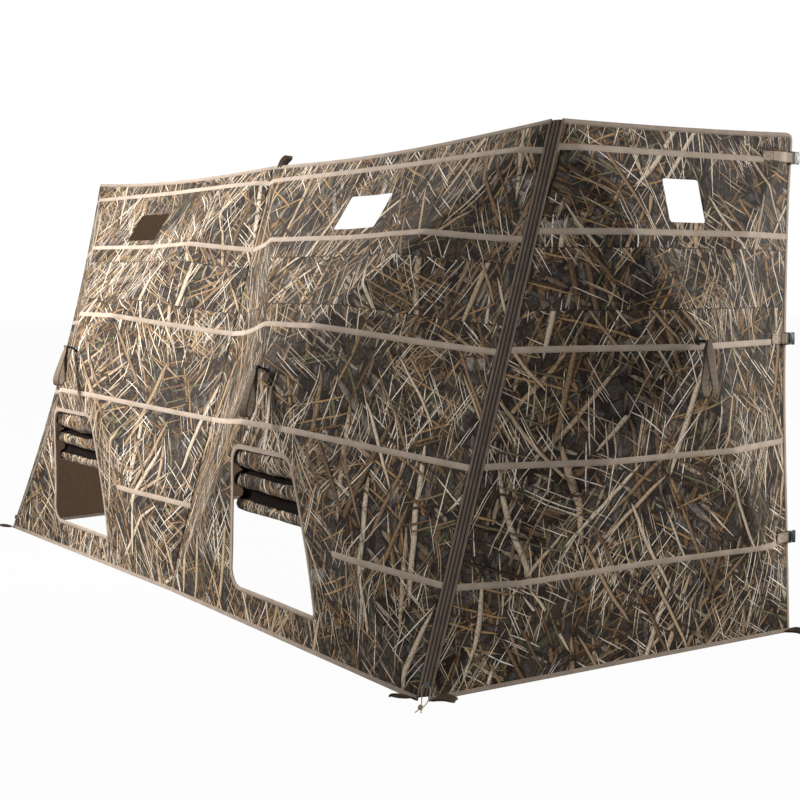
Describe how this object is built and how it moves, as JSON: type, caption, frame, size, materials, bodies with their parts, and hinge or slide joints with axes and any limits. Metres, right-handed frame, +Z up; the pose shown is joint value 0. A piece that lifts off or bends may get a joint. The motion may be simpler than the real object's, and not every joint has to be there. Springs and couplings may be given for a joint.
{
  "type": "pop up ground blind",
  "caption": "Hub style panel ground blind with a leaning front wall, two end walls, an open back, windows, doors, brush strips, buckles and pop out hubs",
  "frame": {"origin": "on the floor under the middle of the whole blind", "axes": "+X along the front wall, +Y from the front wall to the open back, +Z up"},
  "size_m": [3.4404, 1.4312, 1.4797],
  "materials": {
    "camo_cloth": "matte",
    "edge_binding": "matte",
    "strip_webbing": "matte",
    "dark_webbing": "matte",
    "pocket_cloth": "matte",
    "hub_moulding": "satin",
    "pole_rod": "satin",
    "buckle_black": "satin",
    "buckle_grey": "satin",
    "zip_tape": "matte",
    "slider_metal": "satin",
    "cord": "matte"
  },
  "bodies": {
    "wall_front_right": {"skin_front_right": "camo_cloth", "binding_front_right": "edge_binding", "webbing_front_right": "strip_webbing", "pockets_front_right": "pocket_cloth", "corner_zip_right": "zip_tape", "top_loop": "dark_webbing"},
    "wall_front_left": {"skin_front_left": "camo_cloth", "binding_front_left": "edge_binding", "webbing_front_left": "strip_webbing", "pockets_front_left": "pocket_cloth", "corner_zip_left": "zip_tape"},
    "wall_end_right": {"skin_end_right": "camo_cloth", "binding_end_right": "edge_binding", "webbing_end_right": "strip_webbing", "pockets_end_right": "pocket_cloth", "strap_tails_end_right": "strip_webbing"},
    "wall_end_left": {"skin_end_left": "camo_cloth", "binding_end_left": "edge_binding", "webbing_end_left": "strip_webbing", "pockets_end_left": "pocket_cloth", "strap_tails_end_left": "strip_webbing"},
    "hub_body_front_right": {"hub_front_right": "hub_moulding", "hub_cap_front_right": "hub_moulding"},
    "pole_body_front_right_1": {"pole_front_right_1": "pole_rod"},
    "pole_body_front_right_2": {"pole_front_right_2": "pole_rod"},
    "pole_body_front_right_3": {"pole_front_right_3": "pole_rod"},
    "pole_body_front_right_4": {"pole_front_right_4": "pole_rod"},
    "pull_loop_body_front_right": {"pull_loop_front_right": "dark_webbing"},
    "hub_body_front_left": {"hub_front_left": "hub_moulding", "hub_cap_front_left": "hub_moulding"},
    "pole_body_front_left_1": {"pole_front_left_1": "pole_rod"},
    "pole_body_front_left_2": {"pole_front_left_2": "pole_rod"},
    "pole_body_front_left_3": {"pole_front_left_3": "pole_rod"},
    "pole_body_front_left_4": {"pole_front_left_4": "pole_rod"},
    "pull_loop_body_front_left": {"pull_loop_front_left": "dark_webbing"},
    "hub_body_end_right": {"hub_end_right": "hub_moulding", "hub_cap_end_right": "hub_moulding"},
    "pole_body_end_right_1": {"pole_end_right_1": "pole_rod"},
    "pole_body_end_right_2": {"pole_end_right_2": "pole_rod"},
    "pole_body_end_right_3": {"pole_end_right_3": "pole_rod"},
    "pole_body_end_right_4": {"pole_end_right_4": "pole_rod"},
    "pull_loop_body_end_right": {"pull_loop_end_right": "dark_webbing"},
    "hub_body_end_left": {"hub_end_left": "hub_moulding", "hub_cap_end_left": "hub_moulding"},
    "pole_body_end_left_1": {"pole_end_left_1": "pole_rod"},
    "pole_body_end_left_2": {"pole_end_left_2": "pole_rod"},
    "pole_body_end_left_3": {"pole_end_left_3": "pole_rod"},
    "pole_body_end_left_4": {"pole_end_left_4": "pole_rod"},
    "pull_loop_body_end_left": {"pull_loop_end_left": "dark_webbing"},
    "slider_right": {"zip_slider_right": "slider_metal", "zip_pull_cord": "cord"},
    "slider_left": {"zip_slider_left": "slider_metal"},
    "buckle_end_right_low_body": {"buckle_end_right_low": "buckle_black"},
    "buckle_end_right_middle_body": {"buckle_end_right_middle": "buckle_black"},
    "buckle_end_right_top_body": {"buckle_end_right_top": "buckle_grey"},
    "buckle_end_left_low_body": {"buckle_end_left_low": "buckle_black"},
    "buckle_end_left_middle_body": {"buckle_end_left_middle": "buckle_black"},
    "buckle_end_left_top_body": {"buckle_end_left_top": "buckle_grey"},
    "door_flap_front_right_body": {"door_flap_front_right": "camo_cloth"},
    "door_flap_front_left_body": {"door_flap_front_left": "camo_cloth"}
  },
  "joints": [
    {"name": "front_seam", "type": "hinge", "parent": "wall_front_right", "child": "wall_front_left", "pos_m": [0.00965, -0.60462, -0.00089], "axis": [0, -0.2777, -0.9607], "range_deg": [-4, 60]},
    {"name": "corner_right", "type": "hinge", "parent": "wall_front_right", "child": "wall_end_right", "pos_m": [1.4908, -0.58565, 0], "axis": [0, -0.2777, -0.9607], "range_deg": [-20, 75]},
    {"name": "corner_left", "type": "hinge", "parent": "wall_front_left", "child": "wall_end_left", "pos_m": [-1.47126, -0.64253, 0], "axis": [0, 0.2777, 0.9607], "range_deg": [-20, 75]},
    {"name": "hub_pop_front_right", "type": "slide", "parent": "wall_front_right", "child": "hub_body_front_right", "axis": [0, 0.9607, -0.2777], "range_m": [0, 0.2], "deforming": ["skin_front_right", "webbing_front_right"]},
    {"name": "pole_swing_front_right_1", "type": "hinge", "parent": "hub_body_front_right", "child": "pole_body_front_right_1", "pos_m": [0.71052, -0.61273, 0.76643], "axis": [-0.7238, 0.1916, 0.6629], "range_deg": [0, 11.86]},
    {"name": "pole_swing_front_right_2", "type": "hinge", "parent": "hub_body_front_right", "child": "pole_body_front_right_2", "pos_m": [0.75762, -0.61268, 0.76659], "axis": [-0.7189, -0.1931, -0.6678], "range_deg": [0, 11.77]},
    {"name": "pole_swing_front_right_3", "type": "hinge", "parent": "hub_body_front_right", "child": "pole_body_front_right_3", "pos_m": [0.75745, -0.59906, 0.81371], "axis": [0.7238, -0.1916, -0.6629], "range_deg": [0, 11.68]},
    {"name": "pole_swing_front_right_4", "type": "hinge", "parent": "hub_body_front_right", "child": "pole_body_front_right_4", "pos_m": [0.71035, -0.5991, 0.81355], "axis": [0.7189, 0.1931, 0.6678], "range_deg": [0, 11.95]},
    {"name": "pull_loop_swing_front_right", "type": "hinge", "parent": "hub_body_front_right", "child": "pull_loop_body_front_right", "pos_m": [0.73398, -0.65834, 0.80523], "axis": [-1, 0, 0], "range_deg": [0, 120]},
    {"name": "hub_pop_front_left", "type": "slide", "parent": "wall_front_left", "child": "hub_body_front_left", "axis": [-0.0369, 0.96, -0.2776], "range_m": [0, 0.2], "deforming": ["skin_front_left", "webbing_front_left"]},
    {"name": "pole_swing_front_left_1", "type": "hinge", "parent": "hub_body_front_left", "child": "pole_body_front_left_1", "pos_m": [-0.72962, -0.64121, 0.76667], "axis": [-0.7219, 0.1664, 0.6716], "range_deg": [0, 11.71]},
    {"name": "pole_swing_front_left_2", "type": "hinge", "parent": "hub_body_front_left", "child": "pole_body_front_left_2", "pos_m": [-0.68256, -0.63952, 0.76626], "axis": [-0.7198, -0.2182, -0.659], "range_deg": [0, 11.93]},
    {"name": "pole_swing_front_left_3", "type": "hinge", "parent": "hub_body_front_left", "child": "pole_body_front_left_3", "pos_m": [-0.68264, -0.6259, 0.81338], "axis": [0.7219, -0.1664, -0.6716], "range_deg": [0, 11.89]},
    {"name": "pole_swing_front_left_4", "type": "hinge", "parent": "hub_body_front_left", "child": "pole_body_front_left_4", "pos_m": [-0.7297, -0.62759, 0.8138], "axis": [0.7198, 0.2182, 0.659], "range_deg": [0, 11.75]},
    {"name": "pull_loop_swing_front_left", "type": "hinge", "parent": "hub_body_front_left", "child": "pull_loop_body_front_left", "pos_m": [-0.70412, -0.68597, 0.80518], "axis": [-0.9993, -0.0384, 0], "range_deg": [0, 120]},
    {"name": "hub_pop_end_right", "type": "slide", "parent": "wall_end_right", "child": "hub_body_end_right", "axis": [-0.9985, 0.0523, -0.0151], "range_m": [0, 0.12], "deforming": ["skin_end_right", "webbing_end_right"]},
    {"name": "pole_swing_end_right_1", "type": "hinge", "parent": "hub_body_end_right", "child": "pole_body_end_right_1", "pos_m": [1.64614, 0.15028, 0.86627], "axis": [-0.0495, -0.7568, 0.6518], "range_deg": [0, 6.39]},
    {"name": "pole_swing_end_right_2", "type": "hinge", "parent": "hub_body_end_right", "child": "pole_body_end_right_2", "pos_m": [1.64825, 0.1896, 0.86274], "axis": [-0.0375, -0.8615, -0.5063], "range_deg": [0, 7.33]},
    {"name": "pole_swing_end_right_3", "type": "hinge", "parent": "hub_body_end_right", "child": "pole_body_end_right_3", "pos_m": [1.64768, 0.19458, 0.91783], "axis": [0.0495, 0.7568, -0.6518], "range_deg": [0, 9.98]},
    {"name": "pole_swing_end_right_4", "type": "hinge", "parent": "hub_body_end_right", "child": "pole_body_end_right_4", "pos_m": [1.64556, 0.15526, 0.92137], "axis": [0.0375, 0.8615, 0.5063], "range_deg": [0, 11.75]},
    {"name": "pull_loop_swing_end_right", "type": "hinge", "parent": "hub_body_end_right", "child": "pull_loop_body_end_right", "pos_m": [1.70143, 0.16957, 0.89288], "axis": [-0.0523, -0.9986, 0], "range_deg": [0, 120]},
    {"name": "hub_pop_end_left", "type": "slide", "parent": "wall_end_left", "child": "hub_body_end_left", "axis": [0.9955, 0.0906, -0.0262], "range_m": [0, 0.12], "deforming": ["skin_end_left", "webbing_end_left"]},
    {"name": "pole_swing_end_left_1", "type": "hinge", "parent": "hub_body_end_left", "child": "pole_body_end_left_1", "pos_m": [-1.64883, 0.1267, 0.86345], "axis": [-0.0649, 0.8597, 0.5066], "range_deg": [0, 7.34]},
    {"name": "pole_swing_end_left_2", "type": "hinge", "parent": "hub_body_end_left", "child": "pole_body_end_left_2", "pos_m": [-1.64517, 0.08748, 0.86698], "axis": [-0.0857, 0.7536, -0.6517], "range_deg": [0, 6.39]},
    {"name": "pole_swing_end_left_3", "type": "hinge", "parent": "hub_body_end_left", "child": "pole_body_end_left_3", "pos_m": [-1.64418, 0.09252, 0.92205], "axis": [0.0649, -0.8597, -0.5066], "range_deg": [0, 11.73]},
    {"name": "pole_swing_end_left_4", "type": "hinge", "parent": "hub_body_end_left", "child": "pole_body_end_left_4", "pos_m": [-1.64784, 0.13175, 0.91852], "axis": [0.0857, -0.7536, 0.6517], "range_deg": [0, 9.98]},
    {"name": "pull_loop_swing_end_left", "type": "hinge", "parent": "hub_body_end_left", "child": "pull_loop_body_end_left", "pos_m": [-1.70086, 0.10467, 0.89418], "axis": [-0.0906, 0.9959, 0], "range_deg": [0, 120]},
    {"name": "zip_travel_right", "type": "slide", "parent": "wall_front_right", "child": "slider_right", "axis": [0, 0.2777, 0.9607], "range_m": [0, 1.45]},
    {"name": "zip_travel_left", "type": "slide", "parent": "wall_front_left", "child": "slider_left", "axis": [0, 0.2777, 0.9607], "range_m": [0, 1.45]},
    {"name": "buckle_end_right_low_swing", "type": "hinge", "parent": "wall_end_right", "child": "buckle_end_right_low_body", "pos_m": [1.56673, 0.669, 0.29319], "axis": [0.0151, -0.0008, -0.9999], "range_deg": [0, 60]},
    {"name": "buckle_end_right_middle_swing", "type": "hinge", "parent": "wall_end_right", "child": "buckle_end_right_middle_body", "pos_m": [1.56121, 0.64845, 0.88319], "axis": [0.0151, -0.0008, -0.9999], "range_deg": [0, 60]},
    {"name": "buckle_end_right_top_swing", "type": "hinge", "parent": "wall_end_right", "child": "buckle_end_right_top_body", "pos_m": [1.54718, 0.66717, 1.40802], "axis": [0.0151, -0.0008, -0.9999], "range_deg": [0, 60]},
    {"name": "buckle_end_left_low_swing", "type": "hinge", "parent": "wall_end_left", "child": "buckle_end_left_low_body", "pos_m": [-1.59206, 0.60858, 0.29328], "axis": [0.0261, 0.0024, 0.9997], "range_deg": [0, 60]},
    {"name": "buckle_end_left_middle_swing", "type": "hinge", "parent": "wall_end_left", "child": "buckle_end_left_middle_body", "pos_m": [-1.57925, 0.58885, 0.8832], "axis": [0.0261, 0.0024, 0.9997], "range_deg": [0, 60]},
    {"name": "buckle_end_left_top_swing", "type": "hinge", "parent": "wall_end_left", "child": "buckle_end_left_top_body", "pos_m": [-1.56017, 0.60864, 1.40783], "axis": [0.0261, 0.0024, 0.9997], "range_deg": [0, 60]},
    {"name": "door_flap_front_right_swing", "type": "hinge", "parent": "wall_front_right", "child": "door_flap_front_right_body", "pos_m": [0.68464, -0.62044, 0.55972], "axis": [1, 0, 0], "range_deg": [0, 20]},
    {"name": "door_flap_front_left_swing", "type": "hinge", "parent": "wall_front_left", "child": "door_flap_front_left_body", "pos_m": [-0.76929, -0.65049, 0.55972], "axis": [0.9993, 0.0384, 0], "range_deg": [0, 20]}
  ],
  "couplings": [
    {"joint": "pole_swing_front_right_1", "follows": "hub_pop_front_right", "rad_per_m": 1.0306},
    {"joint": "pole_swing_front_right_2", "follows": "hub_pop_front_right", "rad_per_m": 1.0231},
    {"joint": "pole_swing_front_right_3", "follows": "hub_pop_front_right", "rad_per_m": 1.015},
    {"joint": "pole_swing_front_right_4", "follows": "hub_pop_front_right", "rad_per_m": 1.0387},
    {"joint": "pole_swing_front_left_1", "follows": "hub_pop_front_left", "rad_per_m": 1.0173},
    {"joint": "pole_swing_front_left_2", "follows": "hub_pop_front_left", "rad_per_m": 1.0365},
    {"joint": "pole_swing_front_left_3", "follows": "hub_pop_front_left", "rad_per_m": 1.0329},
    {"joint": "pole_swing_front_left_4", "follows": "hub_pop_front_left", "rad_per_m": 1.0208},
    {"joint": "pole_swing_end_right_1", "follows": "hub_pop_end_right", "rad_per_m": 0.92177},
    {"joint": "pole_swing_end_right_2", "follows": "hub_pop_end_right", "rad_per_m": 1.0593},
    {"joint": "pole_swing_end_right_3", "follows": "hub_pop_end_right", "rad_per_m": 1.4444},
    {"joint": "pole_swing_end_right_4", "follows": "hub_pop_end_right", "rad_per_m": 1.7021},
    {"joint": "pole_swing_end_left_1", "follows": "hub_pop_end_left", "rad_per_m": 1.0597},
    {"joint": "pole_swing_end_left_2", "follows": "hub_pop_end_left", "rad_per_m": 0.92226},
    {"joint": "pole_swing_end_left_3", "follows": "hub_pop_end_left", "rad_per_m": 1.6987},
    {"joint": "pole_swing_end_left_4", "follows": "hub_pop_end_left", "rad_per_m": 1.4437}
  ]
}
